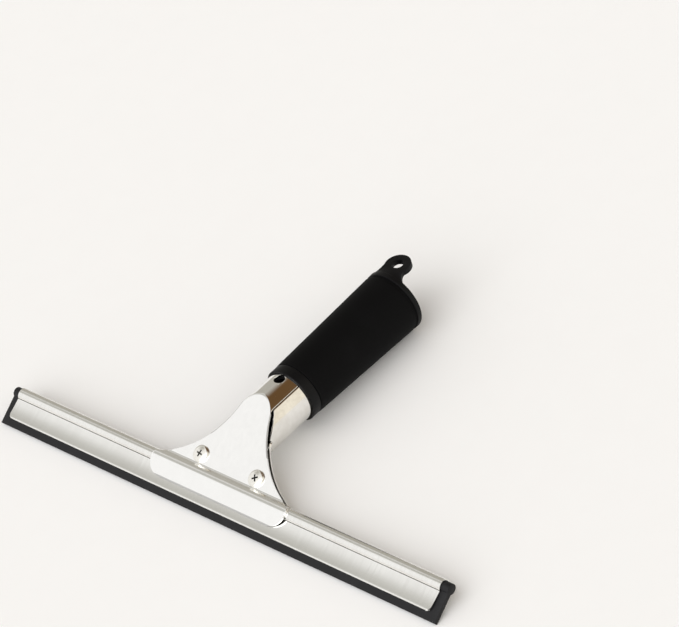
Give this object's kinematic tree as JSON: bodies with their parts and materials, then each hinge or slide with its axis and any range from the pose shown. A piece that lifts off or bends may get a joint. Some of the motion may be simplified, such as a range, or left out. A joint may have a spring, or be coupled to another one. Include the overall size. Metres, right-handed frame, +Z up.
{
  "type": "window cleaning squeegee",
  "caption": "Window squeegee: rubber blade in a rolled steel channel, two-shell screwed clamp, bent neck, hollow rubber grip open for a pole, and a hanging loop.",
  "frame": {"origin": "on the table, under the middle of the squeegee's outline, as it lies on its back on the wiping edge and the end of the grip", "axes": "+X along the blade, +Y from the blade to the end of the handle, +Z up from the table; the front of the clamp faces up"},
  "size_m": [0.305, 0.169, 0.0363],
  "materials": {
    "blade_rubber": "matte black rubber",
    "channel_steel": "brushed stainless steel, brushed across its length",
    "clamp_steel": "satin stainless steel",
    "screw_steel": "bright plated steel",
    "washer_steel": "spring steel",
    "nut_steel": "plated steel",
    "socket_plastic": "moulded black plastic",
    "collar_plastic": "moulded black plastic",
    "grip_rubber": "soft matte black rubber",
    "loop_plastic": "moulded black plastic"
  },
  "bodies": {
    "handle": {"front_clamp": "clamp_steel", "rear_clamp": "clamp_steel", "pole_socket": "socket_plastic", "grip_collar": "collar_plastic", "grip_sleeve": "grip_rubber", "hang_ring": "loop_plastic"},
    "channel": {"blade_channel": "channel_steel"},
    "rubber": {"rubber_blade": "blade_rubber"},
    "screw_left": {"screw_left": "screw_steel"},
    "nut_left": {"nut_left": "nut_steel", "lock_washer_left": "washer_steel"},
    "screw_right": {"screw_right": "screw_steel"},
    "nut_right": {"nut_right": "nut_steel", "lock_washer_right": "washer_steel"}
  },
  "joints": [
    {"name": "channel_slide", "type": "slide", "parent": "handle", "child": "channel", "axis": [1, 0, 0], "range_m": [-0.1, 0.1]},
    {"name": "rubber_slide", "type": "slide", "parent": "channel", "child": "rubber", "axis": [1, 0, 0], "range_m": [-0.3, 0.3]},
    {"name": "screw_turn_left", "type": "hinge", "parent": "handle", "child": "screw_left", "pos_m": [-0.0194, -0.06098, 0.01634], "axis": [0, -0.4929, 0.8701], "range_deg": [0, 720.01]},
    {"name": "nut_travel_left", "type": "slide", "parent": "handle", "child": "nut_left", "axis": [0, 0.4929, -0.8701], "range_m": [0, 0.0016]},
    {"name": "screw_turn_right", "type": "hinge", "parent": "handle", "child": "screw_right", "pos_m": [0.0194, -0.06098, 0.01634], "axis": [0, -0.4929, 0.8701], "range_deg": [0, 720.01]},
    {"name": "nut_travel_right", "type": "slide", "parent": "handle", "child": "nut_right", "axis": [0, 0.4929, -0.8701], "range_m": [0, 0.0016]}
  ],
  "couplings": [
    {"joint": "screw_turn_left", "follows": "nut_travel_left", "rad_per_m": 7854},
    {"joint": "screw_turn_right", "follows": "nut_travel_right", "rad_per_m": 7854}
  ]
}
